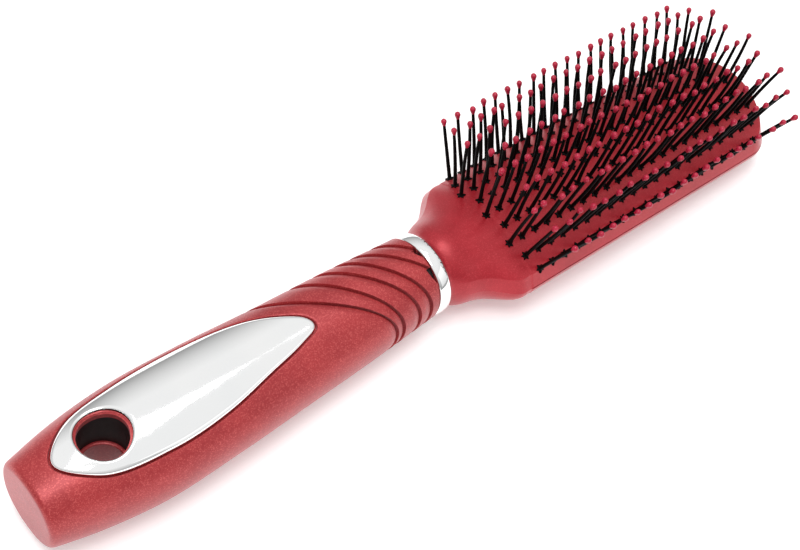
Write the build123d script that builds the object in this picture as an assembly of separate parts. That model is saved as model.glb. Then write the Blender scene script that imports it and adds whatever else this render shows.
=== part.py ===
"""Half-round styling hairbrush, lying on its back with the pins up.

Brush axes, in millimetres, used while building: X runs along the brush from the butt to the tip of
the head, Y across it, Z up, and the origin is on the head's crown, in the middle of the pin field.
At the end every piece is laid down on the table, on the handle's belly and the back of the head,
and the origin becomes the middle of the bottom of the whole brush.
"""
import os
from math import atan2, copysign, cos, degrees, pi, radians, sin, sqrt, tan
from build123d import *

# ---- pin field ----
PITCH = 4.2                     # from pin to pin along a row
PINS_IN_ROW = (20, 21, 22, 21, 22, 21, 22, 21, 20)
ROW_STEP = 9.2                  # degrees from row to row round the crown
FAN_STEP = 6.1                  # degrees by which each next row leans further out
FORWARD_LEAN = 3.2              # degrees, towards the tip of the head
LENGTH_FAN = 0.12               # more degrees of lean for each pitch along the brush
PIN_LENGTH = 16.0               # from the crown to the middle of the ball
PIN_ROOT_R = 0.42
PIN_TOP_R = 0.33
BALL_R = 0.8
PIN_TOP = PIN_LENGTH - 0.6 * BALL_R     # the ball's flat seat on the pin
ROOT_R = 0.62                   # round root that fills the pin's hole in the crown
ROOT_PROUD = 0.2
ROOT_PLAY = 0.04                # gap between a root and its hole
STRIP_WIDTH = 2.4
STRIP_HEIGHT = 2.0
STRIP_PLAY = 0.15

# ---- head ----
CROWN_R = 28.0
HEAD_HALF_WIDTH = 18.7          # at the parting line
HEAD_BACK_DEPTH = 8.1           # from the parting line to the back of the head
HEAD_START_X = -42.5            # where the neck has reached the full width
HEAD_END_X = 40.5               # where the round end begins
HEAD_END_REACH = 12.4           # length of the half-elliptic end
WALL_LEAN = 24.0                # degrees by which the walls above the parting line lean in
HEAD_WALL = 2.2
PARTING_Z = -9.5
PARTING_GROOVE = (0.3, 0.35)    # width and depth of the line round the head where its halves meet
NECK_BEVEL = (9.5, 10.7, 1.0)   # radii and length of the bevel on the neck's end, beside the ring
CAVITY_START_X = -46.0
BACK_FULLNESS = 2.3             # exponent of the back's superellipse
SIDE_BULGE = 0.2                # of the wall between crown and parting line, beside the ring
# neck stations: x, half width, top height, bottom height
NECK = (
    (-62.1, 9.9, 0.35, -19.65),
    (-58.0, 11.0, 0.25, -19.3),
    (-55.0, 12.0, 0.2, -19.0),
    (-52.5, 13.2, 0.1, -18.7),
    (-50.4, 14.9, 0.05, -18.4),
    (-48.5, 16.7, 0.0, -18.1),
    (-46.8, 18.0, 0.0, -17.9),
    (-45.0, 18.6, 0.0, -17.7),
    (HEAD_START_X, HEAD_HALF_WIDTH, 0.0, PARTING_Z - HEAD_BACK_DEPTH),
)

# ---- neck ring and the core's spigot ----
RING_X = (-65.6, -62.1)
RING_R = 10.5
RING_EDGE_R = 0.8
RING_Z = -9.65
SPIGOT_R = 8.0
SPIGOT_X = (-76.0, -50.0)

# ---- handle: x, half width, half height, top height ----
HANDLE = (
    (-170.4, 9.8, 9.45, -3.4),
    (-159.6, 12.1, 11.55, -1.05),
    (-144.9, 14.1, 12.0, -0.35),
    (-126.0, 14.0, 11.35, -0.2),
    (-105.0, 12.8, 10.9, -0.2),
    (-86.1, 11.8, 10.7, 0.4),
    (-65.8, 10.2, 10.45, 0.8),
)
HANDLE_FULLNESS = 2.2           # exponent of the sections' superellipse
SECTION_POINTS = 20
BUTT_EDGE_R = 1.2
GRIP_WALL = 2.6
CORE_START_X = -165.0
CORE_BOTTOM_Z = -13.2

# ---- grip grooves: where each crosses the top, and how far it runs along the brush per mm across ----
GROOVES = ((-92.3, 1.15), (-85.6, 0.76), (-79.7, 0.73), (-75.0, 0.66), (-69.7, 0.76), (-65.0, 0.68))
GROOVE_WIDTH = 1.2
GROOVE_TOP_DEPTH = 0.65
GROOVE_SIDE_DEPTH = 0.3
GROOVE_REACH = 20.0             # across the brush, each way

# ---- plate and hanging hole ----
PLATE_THICKNESS = 1.3
PLATE_PROUD = 0.3
PLATE_GAP = 0.4
# outline of the plate, from its butt end round by its +Y side
PLATE_OUTLINE = (
    (-164.1, 0.0), (-157.0, 7.1), (-143.5, 9.9), (-127.0, 10.3), (-112.5, 8.0),
    (-103.8, 3.6), (-99.0, -0.4), (-98.6, -2.9), (-103.5, -4.8), (-113.4, -6.9),
    (-126.0, -9.3), (-141.0, -10.0), (-157.0, -7.3),
)
HOLE_X = -152.0
PLATE_HOLE_R = 6.1
CORE_HOLE_R = 5.8
HANG_HOLE_R = 5.0
GRIP_LIP_R = 5.6
CUT_REACH = 40.0                # longer than anything that it cuts through


def spow(value, exponent):
    """Signed power, for superellipse sections."""
    return copysign(abs(value) ** exponent, value)


def handle_section(x, half_width, half_height, top, inset):
    """Superellipse section of the handle, square to X."""
    a = half_width - inset
    b = half_height - inset
    middle = top - half_height
    power = 2 / HANDLE_FULLNESS
    points = []
    for i in range(SECTION_POINTS):
        angle = 2 * pi * i / SECTION_POINTS
        points.append((x, a * spow(cos(angle), power), middle + b * spow(sin(angle), power)))
    return Face(Wire([Edge.make_spline(points, periodic=True)]))


def handle_body(inset):
    """The handle's outer form, made smaller all round by inset."""
    return loft([handle_section(*station, inset) for station in HANDLE])


def along_x(radius, x_from, x_to, z):
    """Round bar along X."""
    plane = Plane(origin=(x_from, 0, z), x_dir=(0, 1, 0), z_dir=(1, 0, 0))
    return extrude(plane * Circle(radius), x_to - x_from)


def upright(radius, z_from, z_to):
    """Round bar along Z through the middle of the hanging hole."""
    return extrude(Pos(HOLE_X, 0, z_from) * Circle(radius), z_to - z_from)


def spigot():
    return along_x(SPIGOT_R, SPIGOT_X[0], SPIGOT_X[1], RING_Z)


def core_blank():
    """Stiff inner moulding, without its hole."""
    length = HANDLE[-1][0] - CORE_START_X
    window = Box(length, CUT_REACH, CUT_REACH, align=(Align.MIN, Align.CENTER, Align.MIN))
    return handle_body(GRIP_WALL) & (Pos(CORE_START_X, 0, CORE_BOTTOM_Z) * window)


def plate_prism(margin):
    """The plate's outline, margin wider all round, pulled up through the handle."""
    points = []
    for i, (x, y) in enumerate(PLATE_OUTLINE):
        before = PLATE_OUTLINE[i - 1]
        after = PLATE_OUTLINE[(i + 1) % len(PLATE_OUTLINE)]
        along = Vector(after[0] - before[0], after[1] - before[1]).normalized()
        points.append((x - margin * along.Y, y + margin * along.X, RING_Z))
    return extrude(Face(Wire([Edge.make_spline(points, periodic=True)])), CUT_REACH, dir=(0, 0, 1))


def handle_size(x):
    """Half width, half height and top height of the handle at x."""
    for start, end in zip(HANDLE, HANDLE[1:]):
        if x <= end[0]:
            break
    share = (x - start[0]) / (end[0] - start[0])
    return [start[i] + share * (end[i] - start[i]) for i in (1, 2, 3)]


def groove(x, slant):
    """Slanted slab with the handle's own form, a groove's depth smaller, taken out of it."""
    half_width, half_height, top = handle_size(x)
    far = handle_size(x - slant * half_width)[0]
    near = handle_size(x + slant * half_width)[0]
    run = slant * GROOVE_REACH
    corners = (
        (x - run - GROOVE_WIDTH, GROOVE_REACH), (x - run, GROOVE_REACH),
        (x + run, -GROOVE_REACH), (x + run - GROOVE_WIDTH, -GROOVE_REACH),
    )
    slab = extrude(Pos(0, 0, -CUT_REACH) * Polygon(*corners, align=None), 2 * CUT_REACH, dir=(0, 0, 1))
    middle = top - half_height + GROOVE_SIDE_DEPTH - GROOVE_TOP_DEPTH
    start = Plane(origin=(x - CUT_REACH, (far - near) / 2, middle), x_dir=(0, 1, 0), z_dir=(1, 0, 0))
    floor = Ellipse((far + near) / 2 - GROOVE_SIDE_DEPTH, half_height - GROOVE_SIDE_DEPTH)
    return slab - extrude(start * floor, 2 * CUT_REACH)


def make_grip():
    body = handle_body(0)
    butt = body.edges().group_by(Axis.X)[0]
    body = fillet(butt, BUTT_EDGE_R)
    for x, slant in GROOVES:
        body -= groove(x, slant)
    body -= core_blank()
    body -= spigot()
    body -= upright(GRIP_LIP_R, CORE_BOTTOM_Z, CUT_REACH)
    body -= upright(HANG_HOLE_R, -CUT_REACH, CUT_REACH)
    return body - (plate_prism(PLATE_GAP) - handle_body(PLATE_THICKNESS))


def make_core():
    body = core_blank() + spigot()
    return body - upright(CORE_HOLE_R, -CUT_REACH, CUT_REACH)


def make_plate():
    body = plate_prism(0) & (handle_body(-PLATE_PROUD) - handle_body(PLATE_THICKNESS))
    return body - upright(PLATE_HOLE_R, -CUT_REACH, CUT_REACH)


def make_ring():
    blank = along_x(RING_R, RING_X[0], RING_X[1], RING_Z)
    blank = fillet(blank.edges(), RING_EDGE_R)
    return blank - spigot()


def back_edge(x, half_width, bottom):
    """Half superellipse below the parting line, square to X."""
    power = 2 / BACK_FULLNESS
    points = []
    for i in range(SECTION_POINTS // 2 + 1):
        angle = pi * i / (SECTION_POINTS // 2)
        y = half_width * spow(cos(angle), power)
        points.append((x, y, PARTING_Z - (PARTING_Z - bottom) * spow(sin(angle), power)))
    return Edge.make_spline(points)


def crease_place():
    """Half width and height of the head where its leaning walls meet the crown."""
    slope = tan(radians(WALL_LEAN))
    a = 1 + slope ** 2
    b = CROWN_R + PARTING_Z - slope * HEAD_HALF_WIDTH
    c = HEAD_HALF_WIDTH ** 2 + (CROWN_R + PARTING_Z) ** 2 - CROWN_R ** 2
    rise = (sqrt(b ** 2 - a * c) - b) / a
    return HEAD_HALF_WIDTH - slope * rise, PARTING_Z + rise


CREASE_Y, CREASE_Z = crease_place()


def neck_section(x, half_width, top, bottom):
    """An arc over the top, a wall on each side, and a superellipse half below."""
    crease = CREASE_Y * half_width / HEAD_HALF_WIDTH
    slimness = (HEAD_HALF_WIDTH - half_width) / (HEAD_HALF_WIDTH - NECK[0][1])
    edges = [Edge.make_three_point_arc((x, -crease, CREASE_Z), (x, 0, top), (x, crease, CREASE_Z))]
    for side in (-1, 1):
        upper = (x, side * crease, CREASE_Z)
        lower = (x, side * half_width, PARTING_Z)
        if slimness > 0:
            middle = side * ((crease + half_width) / 2 + SIDE_BULGE * slimness)
            edges.append(Edge.make_three_point_arc(upper, (x, middle, (CREASE_Z + PARTING_Z) / 2), lower))
        else:
            edges.append(Edge.make_line(upper, lower))
    return Face(Wire(edges + [back_edge(x, half_width, bottom)]))


def plan_face(inset, x_from, z):
    """The head seen from above: straight sides and a half-elliptic end, made smaller by inset."""
    half_width = HEAD_HALF_WIDTH - inset
    points = []
    for i in range(13):
        angle = pi * (i / 12 - 0.5)
        out = Vector(cos(angle) / HEAD_END_REACH, sin(angle) / HEAD_HALF_WIDTH).normalized()
        x = HEAD_END_X + HEAD_END_REACH * cos(angle) - inset * out.X
        points.append((x, HEAD_HALF_WIDTH * sin(angle) - inset * out.Y, z))
    near = (x_from, -half_width, z)
    far = (x_from, half_width, z)
    edges = [Edge.make_line(near, points[0])]
    edges.append(Edge.make_spline(points, tangents=[(1, 0, 0), (-1, 0, 0)]))
    edges.append(Edge.make_line(points[-1], far))
    edges.append(Edge.make_line(far, near))
    return Face(Wire(edges))


def head_top(inset, x_from):
    """Everything above the parting line: leaning walls, closed over by the crown."""
    rise = 1 - PARTING_Z
    lean = rise * tan(radians(WALL_LEAN))
    walls = loft([plan_face(inset, x_from, PARTING_Z), plan_face(inset + lean, x_from, 1)], ruled=True)
    return walls & along_x(CROWN_R - inset, x_from, HEAD_END_X + 2 * HEAD_END_REACH, -CROWN_R)


def head_back(inset, x_from):
    """Everything below the parting line, with a round end."""
    half_width = HEAD_HALF_WIDTH - inset
    curve = back_edge(0, half_width, PARTING_Z - HEAD_BACK_DEPTH + inset)
    lid = Edge.make_line(curve @ 1, curve @ 0)
    section = Face(Wire([curve, lid]))
    bar = extrude(Pos(x_from, 0, 0) * section, HEAD_END_X - x_from, dir=(1, 0, 0))
    window = Box(1, CUT_REACH, 2 * CUT_REACH, align=(Align.CENTER, Align.MIN, Align.CENTER))
    half = section & window
    bowl = revolve(half, Axis.Z, 180) + revolve(half, Axis.Z, -180)
    end = scale(bowl, by=((HEAD_END_REACH - inset) / half_width, 1, 1))
    return bar + Pos(HEAD_END_X, 0, 0) * end


def parting_groove():
    """Shallow line round the outside, where the front shell meets the back cover."""
    width, depth = PARTING_GROOVE
    slab = Box(3 * CUT_REACH, 2 * CUT_REACH, width, align=(Align.MIN, Align.CENTER, Align.CENTER))
    inside = extrude(plan_face(depth, HEAD_START_X - width, PARTING_Z - width), 2 * width, dir=(0, 0, 1))
    return (Pos(HEAD_START_X - width, 0, PARTING_Z) * slab) - inside


def pin_places(row):
    """Where each pin of a row leaves the crown, with its axis: a plane whose Z is the pin's axis."""
    side = row - (len(PINS_IN_ROW) - 1) / 2
    turn = radians(ROW_STEP * side)
    fan = radians(FAN_STEP * side)
    count = PINS_IN_ROW[row]
    places = []
    for i in range(count):
        along = i - (count - 1) / 2
        lean = radians(FORWARD_LEAN + LENGTH_FAN * along)
        foot = (along * PITCH, CROWN_R * sin(turn), CROWN_R * cos(turn) - CROWN_R)
        axis = (sin(lean), cos(lean) * sin(fan), cos(lean) * cos(fan))
        places.append(Plane(origin=foot, x_dir=(cos(lean), 0, -sin(lean)), z_dir=axis))
    return places


def pin_holes():
    drill = Cylinder(ROOT_R + ROOT_PLAY, 4 * HEAD_WALL)
    return [place.location * drill for row in range(len(PINS_IN_ROW)) for place in pin_places(row)]


def pin_stem():
    """Root and pin about the local origin, which is where the pin leaves the crown."""
    depth = HEAD_WALL + 0.75 * STRIP_HEIGHT
    centred = (Align.CENTER, Align.CENTER, Align.MIN)
    root = Pos(0, 0, -depth) * Cylinder(ROOT_R, depth + ROOT_PROUD, align=centred)
    return root + Cone(PIN_ROOT_R, PIN_TOP_R, PIN_TOP, align=centred)


def neck_bevel():
    """Collar that takes the sharp edge off the neck's end."""
    small, large, length = NECK_BEVEL
    start = RING_X[1]
    cone = Cone(small, large, length, align=(Align.CENTER, Align.CENTER, Align.MIN))
    inner = Plane(origin=(start, 0, RING_Z), x_dir=(0, 1, 0), z_dir=(1, 0, 0)).location * cone
    return along_x(large, start, start + length, RING_Z) - inner


def make_head_shell():
    neck = loft([neck_section(*station) for station in NECK])
    body = neck + head_top(0, HEAD_START_X)
    body = body - head_top(HEAD_WALL, CAVITY_START_X) - spigot() - parting_groove() - neck_bevel()
    return body - pin_holes()


def make_head_cover():
    cover = head_back(0, HEAD_START_X) - head_back(HEAD_WALL, HEAD_START_X + HEAD_WALL)
    return cover - parting_groove()


def make_pin_strip(row, room):
    """One row: the strip behind the crown with its roots and pins, inside the head's room."""
    side = row - (len(PINS_IN_ROW) - 1) / 2
    places = pin_places(row)
    length = (len(places) - 1) * PITCH + STRIP_WIDTH
    bar = Box(length, STRIP_WIDTH, STRIP_HEIGHT, align=(Align.CENTER, Align.CENTER, Align.MAX))
    top = CROWN_R - HEAD_WALL
    bar = Pos(0, 0, -CROWN_R) * Rot(-ROW_STEP * side, 0, 0) * Pos(0, 0, top) * bar
    stem = pin_stem()
    return (bar & room) + [place.location * stem for place in places]


def make_ball_tips(row):
    """The row's ball tips, each a separate solid on the flat end of its pin."""
    above = Box(2 * BALL_R, 2 * BALL_R, 2 * BALL_R, align=(Align.CENTER, Align.CENTER, Align.MIN))
    ball = (Pos(0, 0, PIN_LENGTH) * Sphere(BALL_R)) & (Pos(0, 0, PIN_TOP) * above)
    return Compound(children=[place.location * ball.solid() for place in pin_places(row)])


def lay_down():
    """Turn that brings the handle's belly and the back of the head onto the table."""
    belly = min(HANDLE, key=lambda station: station[3] - 2 * station[2])
    drop = (PARTING_Z - HEAD_BACK_DEPTH) - (belly[3] - 2 * belly[2])
    return Rot(0, degrees(atan2(drop, HEAD_END_X - belly[0])), 0)


def main():
    os.makedirs("parts", exist_ok=True)
    pieces = {
        "handle_grip": make_grip(),
        "handle_core": make_core(),
        "handle_plate": make_plate(),
        "neck_ring": make_ring(),
        "head_front_shell": make_head_shell(),
        "head_back_cover": make_head_cover(),
    }
    room = head_top(HEAD_WALL + STRIP_PLAY, CAVITY_START_X + STRIP_PLAY)
    for row in range(len(PINS_IN_ROW)):
        pieces[f"pin_row_{row + 1}"] = make_pin_strip(row, room)
        pieces[f"ball_tips_row_{row + 1}"] = make_ball_tips(row)
    turn = lay_down()
    laid = {name: turn * piece for name, piece in pieces.items()}
    box = Compound(children=[Compound(piece.solids()) for piece in laid.values()]).bounding_box()
    to_origin = Pos(-(box.min.X + box.max.X) / 2, 0, -box.min.Z)
    print("rest tilt", turn.orientation.Y, "shift", to_origin.position)
    lower_bore = to_origin * turn * Pos(HOLE_X, 0, (CORE_BOTTOM_Z + HANDLE[1][3] - 2 * HANDLE[1][2]) / 2)
    butt = to_origin * turn * Pos(HANDLE[0][0], 0, HANDLE[0][3] - HANDLE[0][2])
    print("hanging hole", lower_bore.position, "butt face", butt.position, "size", box.size)
    for name, piece in laid.items():
        export_step(to_origin * piece, f"parts/{name}.step")


main()
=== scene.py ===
"""Looks of the half-round styling hairbrush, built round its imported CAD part.

Lengths are millimetres in brush axes unless a name says otherwise: X along the brush from butt to
tip, Y across it, Z up, origin on the head's crown in the middle of the pin field. Every mesh is
turned into the frame, in metres, as it is made.
"""

import random
from math import cos, pi, radians, sin

import bmesh
import bpy
import numpy as np
from mathutils import Matrix, Vector


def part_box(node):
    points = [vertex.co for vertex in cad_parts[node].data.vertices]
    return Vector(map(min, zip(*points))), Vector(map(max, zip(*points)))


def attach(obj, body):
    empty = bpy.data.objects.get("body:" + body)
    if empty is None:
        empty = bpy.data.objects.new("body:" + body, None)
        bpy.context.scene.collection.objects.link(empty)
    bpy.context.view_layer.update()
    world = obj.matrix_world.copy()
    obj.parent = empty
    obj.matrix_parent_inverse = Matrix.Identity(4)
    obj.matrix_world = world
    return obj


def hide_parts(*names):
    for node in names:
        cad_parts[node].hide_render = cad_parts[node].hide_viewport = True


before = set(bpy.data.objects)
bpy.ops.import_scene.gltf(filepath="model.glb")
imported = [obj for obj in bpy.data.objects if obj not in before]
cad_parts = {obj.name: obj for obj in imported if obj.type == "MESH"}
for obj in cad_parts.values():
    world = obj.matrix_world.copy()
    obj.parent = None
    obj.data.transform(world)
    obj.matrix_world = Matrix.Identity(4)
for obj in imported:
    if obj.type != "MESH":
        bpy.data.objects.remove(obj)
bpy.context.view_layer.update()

# ---- dimensions of the CAD part ----
PITCH = 4.2
PINS_IN_ROW = (20, 21, 22, 21, 22, 21, 22, 21, 20)
ROW_STEP = 9.2
FAN_STEP = 6.1
FORWARD_LEAN = 3.2
LENGTH_FAN = 0.12
PIN_LENGTH = 16.0
PIN_TOP_R = 0.33
PIN_TAPER = (
    (0.0, 0.62), (0.3, 0.56), (0.8, 0.5), (3.0, 0.48), (6.0, 0.46), (9.0, 0.44), (12.0, 0.42), (14.2, 0.4),
)
PIN_END_R = 0.38
BALL_R = 0.8
ROOT_R = 0.62
STAR_LEVELS = ((-0.35, 1.0), (0.16, 1.0), (0.3, 0.92), (0.38, 0.7), (0.46, 0.45))
STAR_R = (0.68, 0.52)           # at the valleys, and how much more at the points
STRIP_WIDTH = 2.4
STRIP_HEIGHT = 2.0
STRIP_CHAMFER = 0.3
CROWN_R = 28.0
HEAD_WALL = 2.2
RING_X = (-65.6, -62.1)
RING_R = 10.5
RING_Z = -9.65
SPIGOT_R = 8.0
HANDLE = np.array((
    (-170.4, 9.8, 9.45, -3.4),
    (-159.6, 12.1, 11.55, -1.05),
    (-144.9, 14.1, 12.0, -0.35),
    (-126.0, 14.0, 11.35, -0.2),
    (-105.0, 12.8, 10.9, -0.2),
    (-86.1, 11.8, 10.7, 0.4),
    (-65.8, 10.2, 10.45, 0.8),
))
HANDLE_FULLNESS = 2.2
BUTT_EDGE_R = 1.2
GRIP_WALL = 2.6
CORE_START_X = -165.0
CORE_BOTTOM_Z = -13.2
PLATE_THICKNESS = 1.3
PLATE_PROUD = 0.3
SEAT_GAP = 0.4
PLATE_OUTLINE = (
    (-164.1, 0.0), (-157.0, 7.1), (-143.5, 9.9), (-127.0, 10.3), (-112.5, 8.0),
    (-103.8, 3.6), (-99.0, -0.4), (-98.6, -2.9), (-103.5, -4.8), (-113.4, -6.9),
    (-126.0, -9.3), (-141.0, -10.0), (-157.0, -7.3),
)
HOLE_X = -152.0
PLATE_HOLE_R = 6.1
HANG_HOLE_R = 5.0
GRIP_LIP_R = 5.6
CUT_TOP = 6.0
TILT = radians(2.0851)

# ---- grip grooves: x on top of the handle, run along the brush per mm across, depth ----
GROOVES = (
    (-92.3, 1.15, 0.70), (-85.6, 0.76, 0.70), (-79.7, 0.73, 0.70),
    (-75.0, 0.66, 0.70), (-69.7, 0.76, 0.65), (-65.0, 0.68, 0.60),
)
GROOVE_RAMP = 2.3
GROOVE_CLIFF = 0.14
SLIT_SHARE = 0.24
SLIT_DEPTH = 0.75
POCKET_WIDTH = 1.1
POCKET_STEPS = 9
POCKET_R = (7.9, 13.0)          # from the core out to beyond the grip
GRIP_END_X = -66.05

ring_low, ring_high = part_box("neck_ring")
ring_middle = (ring_low + ring_high) / 2
ring_brush = Vector(((RING_X[0] + RING_X[1]) / 2, 0, RING_Z))
TO_FRAME = (
    Matrix.Translation(ring_middle) @ Matrix.Rotation(TILT, 4, "Y")
    @ Matrix.Scale(0.001, 4) @ Matrix.Translation(-ring_brush)
)


# ---- small helpers ----
def spow(value, exponent):
    """Signed power, for superellipse sections."""
    return np.copysign(np.abs(value) ** exponent, value)


def along_table(table, x):
    """Smooth values of a table's columns at x (first column), by Hermite pieces."""
    xs = table[:, 0]
    values = table[:, 1:]
    slopes = np.gradient(values, xs, axis=0)
    x = np.clip(np.asarray(x, float), xs[0], xs[-1])
    i = np.clip(np.searchsorted(xs, x, side="right") - 1, 0, len(xs) - 2)
    step = xs[i + 1] - xs[i]
    t = ((x - xs[i]) / step)[..., None]
    step = step[..., None]
    return ((2 * t ** 3 - 3 * t ** 2 + 1) * values[i] + (t ** 3 - 2 * t ** 2 + t) * step * slopes[i]
            + (3 * t ** 2 - 2 * t ** 3) * values[i + 1] + (t ** 3 - t ** 2) * step * slopes[i + 1])


def ring_faces(rows, columns, start=0):
    """Quads between closed rings of the same length, laid one after another."""
    faces = []
    for r in range(rows - 1):
        for c in range(columns):
            a = start + r * columns + c
            b = start + r * columns + (c + 1) % columns
            faces.append((a, b, b + columns, a + columns))
    return faces


def caps(rows, columns):
    """The two end faces of rings that ring_faces has joined."""
    last = (rows - 1) * columns
    return [tuple(range(columns))[::-1], tuple(range(last, last + columns))]


def make_object(name, vertices, faces, material, slot, edge_angle=35):
    """Mesh from brush millimetres, in the frame, facing outward and shaded smooth."""
    mesh = bpy.data.meshes.new(name)
    mesh.from_pydata([TO_FRAME @ Vector(v) for v in vertices], [], faces)
    work = bmesh.new()
    work.from_mesh(mesh)
    bmesh.ops.remove_doubles(work, verts=work.verts, dist=1e-7)
    bmesh.ops.dissolve_degenerate(work, edges=work.edges, dist=1e-7)
    bmesh.ops.recalc_face_normals(work, faces=work.faces)
    work.to_mesh(mesh)
    work.free()
    mesh.shade_smooth()
    mesh.set_sharp_from_angle(angle=radians(edge_angle))
    thing = bpy.data.objects.new(name, mesh)
    bpy.context.scene.collection.objects.link(thing)
    mesh.materials.append(material)
    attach(thing, "root")
    return thing


def take_away(body, cutters, edge_angle=35):
    """Cuts closed meshes out of a piece and deletes them."""
    for cutter in cutters:
        cut = body.modifiers.new("cut", "BOOLEAN")
        cut.operation = "DIFFERENCE"
        cut.solver = "EXACT"
        cut.object = cutter
        bpy.context.view_layer.update()
        shape = body.evaluated_get(bpy.context.evaluated_depsgraph_get())
        mesh = bpy.data.meshes.new_from_object(shape)
        body.modifiers.clear()
        body.data = mesh
        bpy.data.objects.remove(cutter)
    body.data.shade_smooth()
    body.data.set_sharp_from_angle(angle=radians(edge_angle))


def lathe(profile, centre, axis, steps):
    """Closed solid of revolution. The profile is (along the axis, radius), with ends at radius 0
    or joined up into a ring when it starts and ends at the same point."""
    axis = Vector(axis).normalized()
    side = axis.orthogonal().normalized()
    other = axis.cross(side)
    vertices = []
    for along, radius in profile:
        for k in range(steps):
            angle = 2 * pi * k / steps
            vertices.append(Vector(centre) + axis * along
                            + (side * cos(angle) + other * sin(angle)) * radius)
    faces = ring_faces(len(profile), steps)
    if profile[0] == profile[-1]:
        return vertices, faces
    return vertices, faces + caps(len(profile), steps)


# ---- materials ----
class Finish:
    """A node material: a Principled surface and short calls to feed it."""

    def __init__(self, name, roughness, metallic=0.0):
        self.material = bpy.data.materials.new(name)
        self.material.use_nodes = True
        self.nodes = self.material.node_tree.nodes
        self.links = self.material.node_tree.links
        self.shader = self.nodes["Principled BSDF"]
        self.shader.inputs["Roughness"].default_value = roughness
        self.shader.inputs["Metallic"].default_value = metallic
        self.place = self.nodes.new("ShaderNodeTexCoord").outputs["Object"]

    def set(self, **sockets):
        for name, value in sockets.items():
            self.shader.inputs[name.replace("_", " ")].default_value = value

    def feed(self, socket, output):
        self.links.new(output, self.shader.inputs[socket])

    def noise(self, grain_mm, detail=3.0, rough=0.55):
        node = self.nodes.new("ShaderNodeTexNoise")
        node.inputs["Scale"].default_value = 1000 / grain_mm
        node.inputs["Detail"].default_value = detail
        node.inputs["Roughness"].default_value = rough
        self.links.new(self.place, node.inputs["Vector"])
        return node.outputs["Fac"]

    def flakes(self, size_mm):
        node = self.nodes.new("ShaderNodeTexVoronoi")
        node.inputs["Scale"].default_value = 1000 / size_mm
        self.links.new(self.place, node.inputs["Vector"])
        split = self.nodes.new("ShaderNodeSeparateColor")
        self.links.new(node.outputs["Color"], split.inputs[0])
        return split.outputs[0]

    def ramp(self, value, *stops):
        """Colour or grey ramp: stops are (position, colour)."""
        node = self.nodes.new("ShaderNodeValToRGB")
        elements = node.color_ramp.elements
        for i, (position, colour) in enumerate(stops):
            element = elements[i] if i < 2 else elements.new(position)
            element.position = position
            element.color = colour if len(colour) == 4 else (*colour, 1)
        self.links.new(value, node.inputs[0])
        return node.outputs["Color"]

    def mix(self, amount, first, second, blend="MIX"):
        node = self.nodes.new("ShaderNodeMix")
        node.data_type = "RGBA"
        node.blend_type = blend
        sockets = (node.inputs["Factor"], node.inputs[6], node.inputs[7])
        for socket, value in zip(sockets, (amount, first, second)):
            if isinstance(value, bpy.types.NodeSocket):
                self.links.new(value, socket)
            else:
                socket.default_value = value if not isinstance(value, tuple) else (*value, 1)
        return node.outputs[2]

    def grey(self, value, low, high):
        node = self.nodes.new("ShaderNodeMapRange")
        node.inputs["To Min"].default_value = low
        node.inputs["To Max"].default_value = high
        self.links.new(value, node.inputs["Value"])
        return node.outputs["Result"]

    def bump(self, height, depth_mm, before=None):
        node = self.nodes.new("ShaderNodeBump")
        node.inputs["Strength"].default_value = 1.0
        node.inputs["Distance"].default_value = depth_mm / 1000
        self.links.new(height, node.inputs["Height"])
        if before is not None:
            self.links.new(before, node.inputs["Normal"])
        return node.outputs["Normal"]


def srgb(red, green, blue):
    """Linear colour from 0-255 values."""
    return tuple(((c / 255 + 0.055) / 1.055) ** 2.4 if c > 10 else c / 3295 for c in (red, green, blue))


def pearl_red(name, deep, mid, light, flake_mm, flake_share, bump_mm, roughness):
    """Moulded pearl red: cloudy colour, tiny bright flakes, faint orange peel."""
    finish = Finish(name, roughness, metallic=0.3)
    cloud = finish.noise(14, 3)
    base = finish.ramp(cloud, (0.35, deep), (0.65, mid))
    flake = finish.flakes(flake_mm)
    spark = finish.ramp(flake, (1 - flake_share, (0, 0, 0)), (1.0, (0.6, 0.6, 0.6)))
    dull = finish.ramp(flake, (0.0, (0.7, 0.7, 0.7)), (flake_share, (0, 0, 0)))
    colour = finish.mix(spark, base, light)
    colour = finish.mix(dull, colour, deep)
    finish.feed("Base Color", colour)
    finish.feed("Roughness", finish.grey(finish.noise(3, 4), roughness - 0.05, roughness + 0.07))
    peel = finish.bump(finish.noise(1.2, 2), bump_mm)
    finish.feed("Normal", finish.bump(flake, bump_mm * 0.5, peel))
    finish.set(Coat_Weight=0.1, Coat_Roughness=0.3, Sheen_Weight=0.2, Sheen_Roughness=0.4)
    finish.set(Sheen_Tint=(1.0, 0.72, 0.78, 1), Specular_IOR_Level=0.5)
    return finish.material


def plain_plastic(name, dark, light, roughness, grain_mm, bump_mm, coat=0.0, level=0.3):
    """Moulded plastic in one hue, with slight mottling and wear."""
    finish = Finish(name, roughness)
    finish.feed("Base Color", finish.ramp(finish.noise(grain_mm * 6, 4), (0.3, dark), (0.7, light)))
    finish.feed("Roughness", finish.grey(finish.noise(grain_mm * 3, 3), roughness - 0.06, roughness + 0.08))
    finish.feed("Normal", finish.bump(finish.noise(grain_mm, 2), bump_mm))
    finish.set(Coat_Weight=coat, Coat_Roughness=0.1, Specular_IOR_Level=level)
    return finish.material


def chrome(name):
    """Bright plating: nearly a mirror, with faint haze that varies in patches, a slight drift in tone and a
    faint ripple.
    """
    finish = Finish(name, 0.08, metallic=1.0)
    tone = finish.ramp(finish.noise(20, 2), (0.3, (0.93, 0.94, 0.94)), (0.7, (0.97, 0.97, 0.965)))
    finish.feed("Base Color", tone)
    finish.feed("Roughness", finish.grey(finish.noise(2.5, 5), 0.03, 0.10))
    finish.feed("Normal", finish.bump(finish.noise(9, 1), 0.003))
    return finish.material


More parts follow.
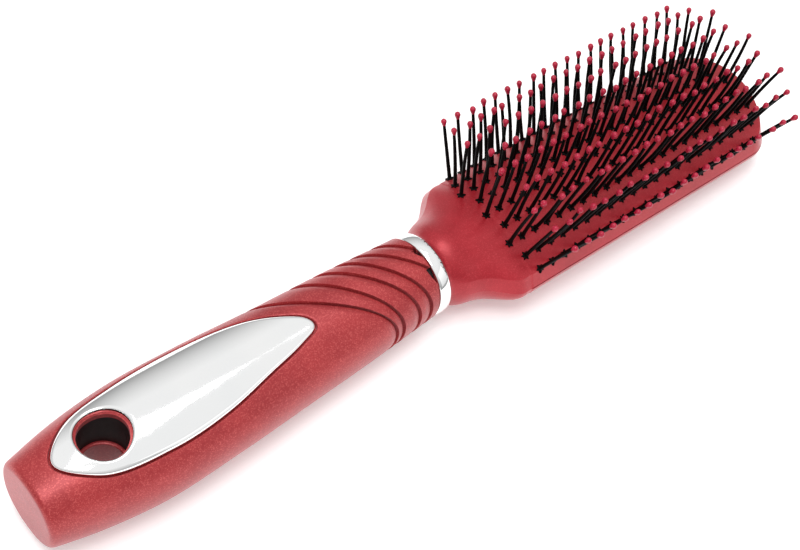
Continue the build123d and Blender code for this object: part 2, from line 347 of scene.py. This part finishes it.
GRIP_RED = pearl_red(
    "grip_red", srgb(150, 34, 39), srgb(168, 46, 49), srgb(206, 92, 88),
    flake_mm=0.2, flake_share=0.35, bump_mm=0.012, roughness=0.38,
)
HEAD_RED = pearl_red(
    "head_red", srgb(156, 16, 30), srgb(174, 26, 40), srgb(196, 54, 64),
    flake_mm=0.15, flake_share=0.25, bump_mm=0.005, roughness=0.32,
)
CHROME = chrome("chrome_plating")
CORE_BLACK = plain_plastic("core_black", srgb(16, 14, 15), srgb(34, 30, 31), 0.5, 0.8, 0.01)
PIN_BLACK = plain_plastic("pin_black", srgb(1, 1, 1), srgb(4, 4, 4), 0.5, 0.5, 0.004, level=0.08)
TIP_RED = plain_plastic("tip_raspberry", srgb(160, 22, 50), srgb(178, 34, 62), 0.3, 0.4, 0.004, coat=0.1)


# ---- handle ----
def handle_point(x, angle, inset=0.0):
    """Points of the handle's form: angle 0 is on top, and grows towards +Y."""
    half_width, half_height, top = np.moveaxis(along_table(HANDLE, x), -1, 0)
    power = 2 / HANDLE_FULLNESS
    y = (half_width - inset) * spow(np.sin(angle), power)
    z = top - half_height + (half_height - inset) * spow(np.cos(angle), power)
    return np.stack([x + 0 * y, y, z], -1)


def handle_top(x, y):
    """Height of the handle's form over a point inside its outline."""
    half_width, half_height, top = np.moveaxis(along_table(HANDLE, x), -1, 0)
    share = np.clip(np.abs(y) / half_width, 0, 1)
    rise = (1 - share ** HANDLE_FULLNESS) ** (1 / HANDLE_FULLNESS)
    return top - half_height + half_height * rise


def groove_line(groove, angle):
    """X of a groove's cliff at each angle round the handle."""
    x, slant, _ = groove
    line = np.full_like(angle, x)
    for _ in range(8):
        line = x - slant * handle_point(line, angle)[..., 1]
    return line


def groove_depths(x, angle, lines):
    """Depth of the saw-tooth grooves: a slow ramp down to a cliff that faces the butt."""
    fade = np.clip((np.cos(angle) + 0.75) / 0.95, 0, 1)
    fade = 0.08 + 0.92 * fade ** 1.3
    fade *= np.clip((np.cos(angle) + 0.9) / 0.5, 0, 1)
    depth = np.zeros_like(x)
    for groove, line in zip(GROOVES, lines):
        ramp = np.clip((x - line + GROOVE_RAMP) / GROOVE_RAMP, 0, 1) ** 1.15
        cliff = np.clip((line + GROOVE_CLIFF - x) / GROOVE_CLIFF, 0, 1)
        slit = np.clip((x - line + GROOVE_RAMP * SLIT_SHARE) / (0.02 * GROOVE_RAMP), 0, 1)
        depth = np.maximum(depth, (groove[2] * ramp + SLIT_DEPTH * slit) * cliff * fade)
    return depth


def make_grip():
    columns = 288
    angle = np.linspace(0, 2 * pi, columns, endpoint=False)
    lines = [groove_line(groove, angle) for groove in GROOVES]
    rows = []
    for inset in np.linspace(9.0, BUTT_EDGE_R, 10):
        rows.append((np.full(columns, HANDLE[0][0]), inset))
    for turn in np.linspace(0, pi / 2, 7)[1:]:
        x = HANDLE[0][0] + BUTT_EDGE_R * (1 - cos(turn))
        rows.append((np.full(columns, x), BUTT_EDGE_R * (1 - sin(turn))))
    start = np.full(columns, HANDLE[0][0] + BUTT_EDGE_R)
    crease = lines[0] - GROOVE_RAMP
    for share in np.linspace(0, 1, 100)[1:]:
        rows.append((start + share * (crease - start), 0))
    for i, line in enumerate(lines):
        for share in (0.2, 0.4, 0.6, 1 - SLIT_SHARE, 1.02 - SLIT_SHARE, 0.9, 1.0):
            rows.append((line - GROOVE_RAMP * (1 - share), 0))
        after = lines[i + 1] - GROOVE_RAMP if i + 1 < len(lines) else np.full(columns, GRIP_END_X)
        shelf = line + GROOVE_CLIFF
        for share in (0, 0.1, 0.4, 0.7, 1.0):
            rows.append((shelf + share * np.maximum(after - shelf, 0.01), 0))
    rows.append((np.full(columns, GRIP_END_X), 0))
    vertices = []
    for x, inset in rows:
        x = np.minimum(x, GRIP_END_X)
        depth = groove_depths(x, angle, lines) + inset
        vertices.extend(handle_point(x, angle, depth))
    faces = ring_faces(len(rows), columns) + caps(len(rows), columns)
    grip = make_object("handle_grip_shell", vertices, faces, GRIP_RED, "grip_red")
    pockets = [end_pocket(line, angle) for line in (lines[-1], lines[-2])]
    take_away(grip, [core_room(), lip_and_bore(), plate_seat()] + pockets)
    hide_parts("handle_grip")
    return grip


def end_pocket(line, angle):
    """Cutter for the open wedge that a groove leaves where it runs out beside the ring."""
    slant_end = np.linspace(1.2, -1.2, 61)
    ends = np.interp(slant_end, (angle + pi) % (2 * pi) - pi, line, period=2 * pi)
    cliff, ramp = np.interp((GRIP_END_X, GRIP_END_X + GROOVE_RAMP), ends, slant_end)
    vertices = []
    for share in np.linspace(0, 1, POCKET_STEPS):
        turn = cliff + share * (ramp - cliff)
        width = POCKET_WIDTH * (1 - share ** 2) + 0.03
        corners = ((-width, POCKET_R[0]), (0.6, POCKET_R[0]), (0.6, POCKET_R[1]), (-width, POCKET_R[1]))
        for x, r in corners:
            vertices.append((GRIP_END_X + x, r * sin(turn), RING_Z + r * cos(turn)))
    faces = ring_faces(POCKET_STEPS, 4) + caps(POCKET_STEPS, 4)
    return make_object("end_pocket", vertices, faces, GRIP_RED, "grip_red")


def core_room():
    """The core's form as a closed mesh, a hair larger than the core."""
    columns = 96
    angle = np.linspace(0, 2 * pi, columns, endpoint=False)
    stations = np.linspace(CORE_START_X - 0.05, HANDLE[-1][0] + 1, 70)
    vertices = []
    for x in stations:
        ring = handle_point(np.full(columns, x), angle, GRIP_WALL - 0.05)
        ring[:, 2] = np.maximum(ring[:, 2], CORE_BOTTOM_Z - 0.05)
        vertices.extend(ring)
    faces = ring_faces(len(stations), columns) + caps(len(stations), columns)
    return make_object("core_room", vertices, faces, GRIP_RED, "grip_red")


def lip_and_bore():
    """Cutter for the ring of grip below the plate's hole and the narrower bore under the core."""
    belly = -24.4
    profile = (
        (belly - 3, HANG_HOLE_R + 4), (belly, HANG_HOLE_R + 0.7), (belly + 0.3, HANG_HOLE_R + 0.25),
        (belly + 0.9, HANG_HOLE_R), (CORE_BOTTOM_Z - 0.3, HANG_HOLE_R),
        (CORE_BOTTOM_Z - 0.1, HANG_HOLE_R + 0.2),
        (CORE_BOTTOM_Z, GRIP_LIP_R), (CUT_TOP, GRIP_LIP_R),
    )
    vertices, faces = lathe(profile, (HOLE_X, 0, 0), (0, 0, 1), 96)
    return make_object("bore_cutter", vertices, faces, GRIP_RED, "grip_red")


def outline_points(count):
    """Even points round the plate's outline, on a closed smooth curve through its knots."""
    knots = np.array(PLATE_OUTLINE)
    total = len(knots)
    fine = []
    for i in range(total):
        p0, p1, p2, p3 = (knots[(i + k) % total] for k in (-1, 0, 1, 2))
        l0, l1, l2 = (np.linalg.norm(b - a) ** 0.5 for a, b in ((p0, p1), (p1, p2), (p2, p3)))
        t0 = (p1 - p0) / l0 - (p2 - p0) / (l0 + l1) + (p2 - p1) / l1
        t1 = (p2 - p1) / l1 - (p3 - p1) / (l1 + l2) + (p3 - p2) / l2
        t0 *= l1
        t1 *= l1
        for t in np.linspace(0, 1, 60, endpoint=False):
            fine.append((2 * t ** 3 - 3 * t ** 2 + 1) * p1 + (t ** 3 - 2 * t ** 2 + t) * t0
                        + (3 * t ** 2 - 2 * t ** 3) * p2 + (t ** 3 - t ** 2) * t1)
    fine = np.array(fine + fine[:1])
    length = np.concatenate([[0], np.cumsum(np.linalg.norm(np.diff(fine, axis=0), axis=1))])
    even = np.linspace(0, length[-1], count, endpoint=False)
    points = np.stack([np.interp(even, length, fine[:, k]) for k in (0, 1)], -1)
    for _ in range(3):
        points = (np.roll(points, 1, 0) + 2 * points + np.roll(points, -1, 0)) / 4
    return points


def outward(points):
    """Unit normals of a closed outline that runs clockwise."""
    along = np.roll(points, -1, 0) - np.roll(points, 1, 0)
    normal = np.stack([-along[:, 1], along[:, 0]], -1)
    return normal / np.linalg.norm(normal, axis=1)[:, None]


def plate_seat():
    """Cutter for the plate's seat, with a small round lip where it meets the grip's surface."""
    outline = outline_points(320)
    normal = outward(outline)
    centre = np.array((-130.0, 0.0))
    vertices = []
    rows = 0
    for share in (0.02, 0.3, 0.6, 0.85):
        points = centre + share * (outline - centre)
        vertices.extend(np.column_stack([points, handle_top(points[:, 0], points[:, 1]) - PLATE_THICKNESS]))
        rows += 1
    profile = (
        (SEAT_GAP, -PLATE_THICKNESS), (SEAT_GAP, -0.4), (0.44, -0.2), (0.54, -0.07), (0.7, 0.0),
        (0.95, 0.06), (1.4, 5.0),
    )
    for offset, height in profile:
        points = outline + offset * normal
        vertices.extend(np.column_stack([points, handle_top(points[:, 0], points[:, 1]) + height]))
        rows += 1
    faces = ring_faces(rows, len(outline)) + caps(rows, len(outline))
    return make_object("seat_cutter", vertices, faces, GRIP_RED, "grip_red")


def make_plate():
    """Plated inlay: quads run from its hole out to its edge, both rolled over."""
    outline = outline_points(360)
    normal = outward(outline)
    centre = np.array((HOLE_X, 0.0))
    away = outline - centre
    direction = away / np.linalg.norm(away, axis=1)[:, None]
    hole = centre + PLATE_HOLE_R * direction
    edge = 0.7
    profile_in = ((0.0, -0.35), (0.05, -0.12), (0.18, 0.08), (0.4, 0.22), (0.65, PLATE_PROUD))
    profile_out = ((0.0, -0.5), (0.03, -0.2), (0.12, 0.02), (0.3, 0.18), (edge, PLATE_PROUD))
    rows = []
    rows.append((hole, -PLATE_THICKNESS))
    for offset, height in profile_in:
        rows.append((hole + offset * direction, height))
    inner = hole + profile_in[-1][0] * direction
    outer = outline - edge * normal
    for share in np.linspace(0, 1, 60)[1:]:
        rows.append((inner + share * (outer - inner), PLATE_PROUD))
    for offset, height in profile_out[-2::-1]:
        rows.append((outline - offset * normal, height))
    rows.append((outline, -PLATE_THICKNESS))
    vertices = []
    for points, height in rows:
        vertices.extend(np.column_stack([points, handle_top(points[:, 0], points[:, 1]) + height]))
    count = len(outline)
    faces = ring_faces(len(rows), count)
    last = (len(rows) - 1) * count
    faces.extend((last + k, last + (k + 1) % count, (k + 1) % count, k) for k in range(count))
    plate = make_object("handle_inlay_plate", vertices, faces, CHROME, "plated", edge_angle=50)
    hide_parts("handle_plate")
    return plate


def make_ring():
    """Plated band between handle and neck: soft crown, rolled edges, hollow for the core."""
    x0, x1 = RING_X
    width = x1 - x0
    outer = []
    for share in np.linspace(0, 1, 9):
        outer.append((0.55 + share * (width - 1.1), RING_R - 0.12 * (2 * share - 1) ** 2))
    profile = [(0.0, SPIGOT_R), (0.0, RING_R - 0.75), (0.08, RING_R - 0.4), (0.26, RING_R - 0.2)]
    profile += outer
    profile += [(width - 0.26, RING_R - 0.2), (width - 0.08, RING_R - 0.4), (width, RING_R - 0.75)]
    profile += [(width, SPIGOT_R), (0.0, SPIGOT_R)]
    vertices, faces = lathe(profile, (x0, 0, RING_Z), (1, 0, 0), 160)
    ring = make_object("neck_band", vertices, faces, CHROME, "plated", edge_angle=50)
    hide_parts("neck_ring")
    return ring


# ---- pins ----
def pin_places(row):
    """Foot and axis of every pin of a row, as moulded."""
    side = row - (len(PINS_IN_ROW) - 1) / 2
    turn = radians(ROW_STEP * side)
    fan = radians(FAN_STEP * side)
    count = PINS_IN_ROW[row]
    for i in range(count):
        along = i - (count - 1) / 2
        lean = radians(FORWARD_LEAN + LENGTH_FAN * along)
        outer = Vector((0, sin(turn), cos(turn)))
        foot = Vector((along * PITCH, 0, -CROWN_R)) + CROWN_R * outer
        axis = Vector((sin(lean), cos(lean) * sin(fan), cos(lean) * cos(fan)))
        yield foot, axis, outer


def tube(path, radii, steps):
    """Closed tube along points, its ends capped."""
    vertices = []
    side = None
    for i, point in enumerate(path):
        along = (path[min(i + 1, len(path) - 1)] - path[max(i - 1, 0)]).normalized()
        side = along.orthogonal() if side is None else side - along * side.dot(along)
        side.normalize()
        other = along.cross(side)
        for k in range(steps):
            angle = 2 * pi * k / steps
            vertices.append(point + (side * cos(angle) + other * sin(angle)) * radii[i])
    return vertices, ring_faces(len(path), steps) + caps(len(path), steps)


def star_collar(foot, axis, points, turn):
    """Moulded star where the pin comes out of the crown."""
    side = axis.orthogonal().normalized()
    other = axis.cross(side)
    count = points * 4
    vertices = []
    for height, scale in STAR_LEVELS:
        for k in range(count):
            angle = 2 * pi * k / count + turn
            wave = (1 + cos(points * angle - points * turn)) / 2
            radius = (STAR_R[0] + STAR_R[1] * wave ** 1.3) * scale
            vertices.append(foot + axis * height + (side * cos(angle) + other * sin(angle)) * radius)
    return vertices, ring_faces(len(STAR_LEVELS), count) + caps(len(STAR_LEVELS), count)


def gather(parts):
    """One list of vertices and faces from several."""
    vertices = []
    faces = []
    for more_vertices, more_faces in parts:
        start = len(vertices)
        vertices.extend(more_vertices)
        faces.extend(tuple(start + i for i in face) for face in more_faces)
    return vertices, faces


def strip_bar(row):
    """Flexible strip behind the crown that joins a row's roots."""
    side = row - (len(PINS_IN_ROW) - 1) / 2
    turn = radians(ROW_STEP * side)
    up = Vector((0, sin(turn), cos(turn)))
    across = Vector((0, cos(turn), -sin(turn)))
    half = (PINS_IN_ROW[row] - 1) / 2 * PITCH + STRIP_WIDTH / 2
    middle = Vector((0, 0, -CROWN_R)) + up * (CROWN_R - HEAD_WALL - STRIP_HEIGHT / 2 - 0.02)
    vertices = []
    inner = half - STRIP_CHAMFER
    for x, shrink in ((-half, STRIP_CHAMFER), (-inner, 0), (inner, 0), (half, STRIP_CHAMFER)):
        w = STRIP_WIDTH / 2 - shrink
        h = STRIP_HEIGHT / 2 - shrink
        v = w - STRIP_CHAMFER
        k = h - STRIP_CHAMFER
        for a, b in ((w, k), (v, h), (-v, h), (-w, k), (-w, -k), (-v, -h), (v, -h), (w, -k)):
            vertices.append(middle + Vector((x, 0, 0)) + across * a + up * b)
    return vertices, ring_faces(4, 8) + caps(4, 8)


def ball(centre, axis, radius):
    """Drop of resin round a pin's end: a ball with a short neck down the pin."""
    profile = [(-1.7 * radius, PIN_TOP_R), (-1.4 * radius, 0.6 * radius), (-1.1 * radius, 0.7 * radius)]
    for k in range(1, 9):
        angle = -0.8 + k * (pi / 2 + 0.8) / 9
        profile.append((radius * 1.08 * sin(angle), radius * cos(angle)))
    profile.append((radius * 1.075, radius * 0.12))
    return lathe(profile, centre, axis, 16)


def make_pins():
    chance = random.Random(7)
    for row in range(len(PINS_IN_ROW)):
        stems = [strip_bar(row)]
        balls = []
        for i, (foot, axis, outer) in enumerate(pin_places(row)):
            lean = chance.gauss(0, 1.1) + (0.5 if i % 2 else -0.5)
            sway = chance.gauss(0, 1.1)
            if chance.random() < 0.07:
                lean += chance.choice((-4, 4))
            swing = Matrix.Rotation(radians(lean), 3, "Y") @ Matrix.Rotation(radians(sway), 3, "X")
            leaning = swing @ axis
            bow = Vector((chance.gauss(0, 0.22), chance.gauss(0, 0.22), 0))
            top = PIN_LENGTH - 0.6 * BALL_R
            path = [foot - axis * (HEAD_WALL + 1.2)]
            radii = [ROOT_R]
            path.append(foot - axis * 0.1)
            radii.append(ROOT_R)
            for height, radius in PIN_TAPER + ((top, PIN_END_R),):
                share = height / top
                path.append(foot + leaning * height + bow * (share * (1 - share) * 4))
                radii.append(radius)
            stems.append(tube(path, radii, 12))
            stems.append(star_collar(foot, outer, chance.choice((5, 5, 6)), chance.random() * 6))
            radius = BALL_R * chance.uniform(0.88, 1.0)
            direction = (path[-1] - path[-2]).normalized()
            balls.append(ball(foot + leaning * PIN_LENGTH, direction, radius))
        pins = make_object(f"pins_row_{row + 1}", *gather(stems), PIN_BLACK, "pin_black", edge_angle=60)
        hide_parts(f"pin_row_{row + 1}")
        tips = make_object(f"pin_balls_row_{row + 1}", *gather(balls), TIP_RED, "tip_red", edge_angle=60)
        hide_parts(f"ball_tips_row_{row + 1}")


def finish_cad_node(name, material):
    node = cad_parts[name]
    node.data.materials.clear()
    node.data.materials.append(material)


# ---- camera, floor and light ----
def make_camera():
    data = bpy.data.cameras.new("camera")
    data.sensor_width = 36
    data.lens = 67.27
    data.clip_start = 0.01
    camera = bpy.data.objects.new("camera", data)
    bpy.context.scene.collection.objects.link(camera)
    bpy.context.scene.camera = camera
    spin = Matrix.Rotation(TILT, 3, "Y")
    forward = spin @ Vector((0.4915, 0.3926, -0.7774))
    up = spin @ Vector((0.4301, 0.6667, 0.6086))
    right = forward.cross(up).normalized()
    up = right.cross(forward)
    camera.matrix_world = Matrix.Translation(TO_FRAME @ Vector((-242.84, -137.72, 267.75))) @ Matrix((
        (right.x, up.x, -forward.x, 0), (right.y, up.y, -forward.y, 0), (right.z, up.z, -forward.z, 0),
        (0, 0, 0, 1)))


def make_floor():
    mesh = bpy.data.meshes.new("floor")
    mesh.from_pydata([(-3, -3, 0), (3, -3, 0), (3, 3, 0), (-3, 3, 0)], [], [(0, 1, 2, 3)])
    floor = bpy.data.objects.new("floor", mesh)
    bpy.context.scene.collection.objects.link(floor)
    finish = Finish("floor_white", 0.9)
    tone = finish.ramp(finish.noise(400, 2), (0.3, (0.9, 0.9, 0.9)), (0.7, (0.93, 0.93, 0.93)))
    finish.feed("Base Color", tone)
    finish.set(Emission_Color=(1, 1, 1, 1), Emission_Strength=0.24)
    mesh.materials.append(finish.material)


def area_light(name, at, target, size, power, colour=(1, 1, 1)):
    data = bpy.data.lights.new(name, "AREA")
    data.shape = "RECTANGLE"
    data.size, data.size_y = size
    data.energy = power
    data.color = colour
    light = bpy.data.objects.new(name, data)
    bpy.context.scene.collection.objects.link(light)
    light.location = at
    light.rotation_euler = (Vector(target) - Vector(at)).to_track_quat("-Z", "Y").to_euler()


def make_light():
    world = bpy.data.worlds.new("studio")
    bpy.context.scene.world = world
    world.use_nodes = True
    backdrop = world.node_tree.nodes["Background"]
    sky = world.node_tree.nodes.new("ShaderNodeTexCoord")
    split = world.node_tree.nodes.new("ShaderNodeSeparateXYZ")
    height = world.node_tree.nodes.new("ShaderNodeValToRGB")
    for element, (position, grey) in zip(height.color_ramp.elements, ((0.0, 0.34), (0.75, 0.95))):
        element.position = position
        element.color = (grey, grey, grey, 1)
    world.node_tree.links.new(sky.outputs["Generated"], split.inputs[0])
    world.node_tree.links.new(split.outputs["Z"], height.inputs[0])
    world.node_tree.links.new(height.outputs["Color"], backdrop.inputs["Color"])
    backdrop.inputs["Strength"].default_value = 0.95
    area_light("overhead", (0.1, 0.15, 1.1), (0, 0, 0), (0.5, 0.5), 3)
    area_light("key", (-0.25, -0.15, 0.9), (0, 0, 0), (0.35, 0.35), 3)
    area_light("front", (0.9, -1.4, 0.7), (0, 0, 0), (1.3, 1.1), 1.7)
    bpy.context.scene.view_settings.view_transform = "Standard"


make_camera()
make_floor()
make_light()
make_grip()
make_plate()
make_ring()
make_pins()
finish_cad_node("handle_core", CORE_BLACK)
finish_cad_node("head_front_shell", HEAD_RED)
finish_cad_node("head_back_cover", HEAD_RED)
